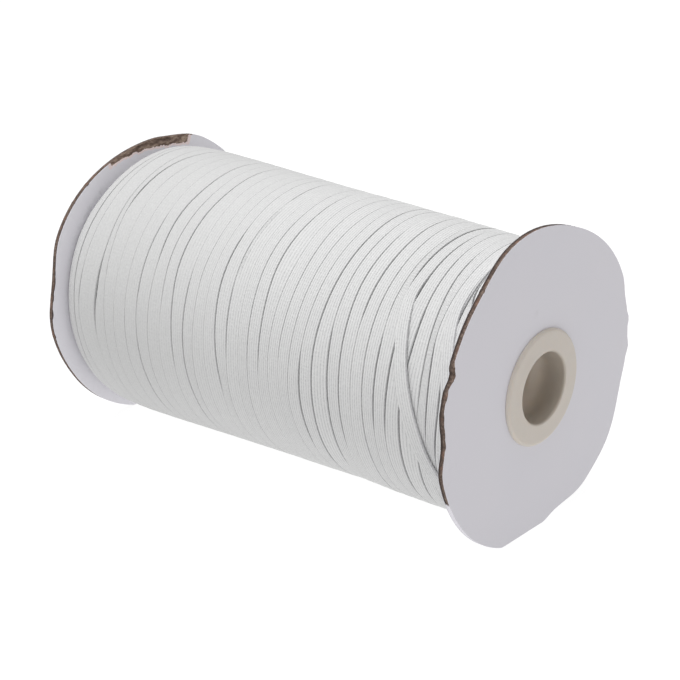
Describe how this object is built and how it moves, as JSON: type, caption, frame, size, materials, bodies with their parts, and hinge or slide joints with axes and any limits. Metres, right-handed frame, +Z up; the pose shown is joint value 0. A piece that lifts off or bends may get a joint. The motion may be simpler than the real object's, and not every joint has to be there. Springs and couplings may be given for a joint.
{
  "type": "roll of elastic on a flanged spool",
  "caption": "White narrow braided elastic wound on a lying spool with round board flanges, moulded ivory hubs and an open bore.",
  "frame": {"origin": "on the surface the roll lies on, under the middle of the spool", "axes": "+X along the spool's axis towards the hub that shows, +Z up, -Y the front"},
  "size_m": [0.1754, 0.1045, 0.1022],
  "materials": {
    "core_card": "brown kraft paper tube, plain and matt",
    "flange_board": "smooth white paper faces on grey-brown board with a raw fibrous cut edge",
    "hub_plastic": "ivory moulded plastic with a soft satin sheen",
    "elastic": "white braided elastic with fine lengthwise ribs, matt"
  },
  "bodies": {
    "root": {"core_tube": "core_card", "flange_near": "flange_board", "flange_far": "flange_board", "hub_near": "hub_plastic", "hub_far": "hub_plastic", "wound_elastic": "elastic"}
  },
  "joints": []
}
